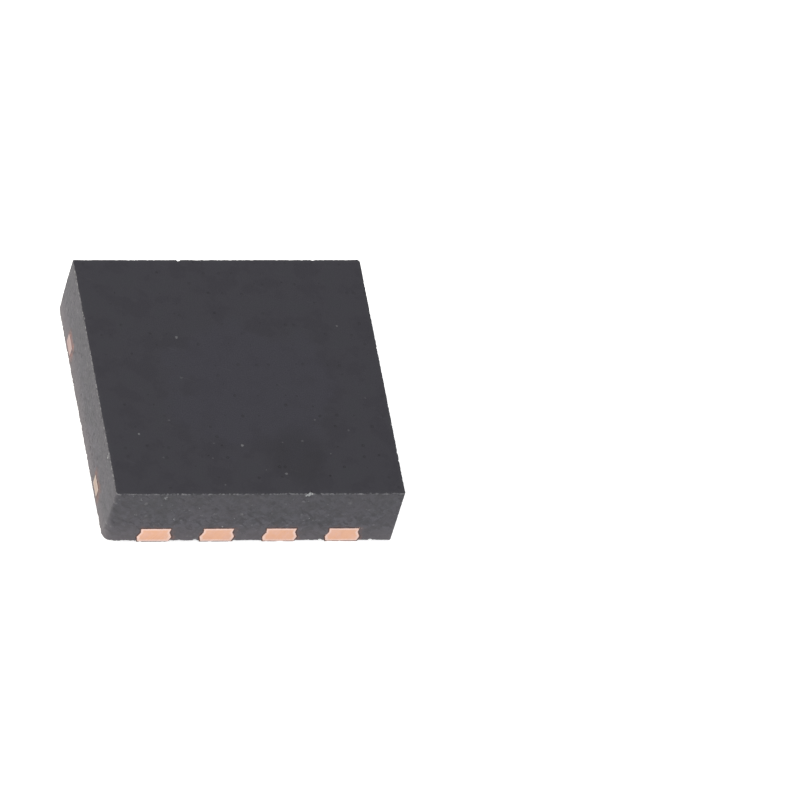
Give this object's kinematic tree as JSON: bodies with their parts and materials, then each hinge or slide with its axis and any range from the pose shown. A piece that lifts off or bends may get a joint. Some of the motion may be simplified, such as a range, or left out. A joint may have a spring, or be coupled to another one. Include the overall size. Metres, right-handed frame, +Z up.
{
  "type": "leadless chip package",
  "caption": "Square black moulded leadless chip with flat copper leads flush with two sides and an exposed tin-plated pad underneath.",
  "frame": {"origin": "middle of the package on its seating plane, the undersides of the lands and the pad", "axes": "+Z up through the moulded top, +X along the rows of leads, lead 1 at -X -Y"},
  "size_m": [0.003, 0.003, 0.0008],
  "materials": {
    "mould_compound": "moulded black epoxy, matte, sawn on four sides",
    "lead_copper": "copper alloy, bare where it was sawn",
    "matte_tin": "plated matte tin, grainy",
    "die_adhesive": "silver-filled epoxy",
    "silicon": "polished silicon",
    "bond_wire": "bare drawn wire"
  },
  "bodies": {
    "root": {"mould_body": "mould_compound", "die_pad": "lead_copper", "pad_finish": "matte_tin", "die_attach": "die_adhesive", "silicon_die": "silicon", "lead_1": "lead_copper", "lead_2": "lead_copper", "lead_3": "lead_copper", "lead_4": "lead_copper", "lead_5": "lead_copper", "lead_6": "lead_copper", "lead_7": "lead_copper", "lead_8": "lead_copper", "lead_finish_1": "matte_tin", "lead_finish_2": "matte_tin", "lead_finish_3": "matte_tin", "lead_finish_4": "matte_tin", "lead_finish_5": "matte_tin", "lead_finish_6": "matte_tin", "lead_finish_7": "matte_tin", "lead_finish_8": "matte_tin", "bond_wire_1": "bond_wire", "bond_wire_2": "bond_wire", "bond_wire_3": "bond_wire", "bond_wire_4": "bond_wire", "bond_wire_5": "bond_wire", "bond_wire_6": "bond_wire", "bond_wire_7": "bond_wire", "bond_wire_8": "bond_wire"}
  },
  "joints": []
}
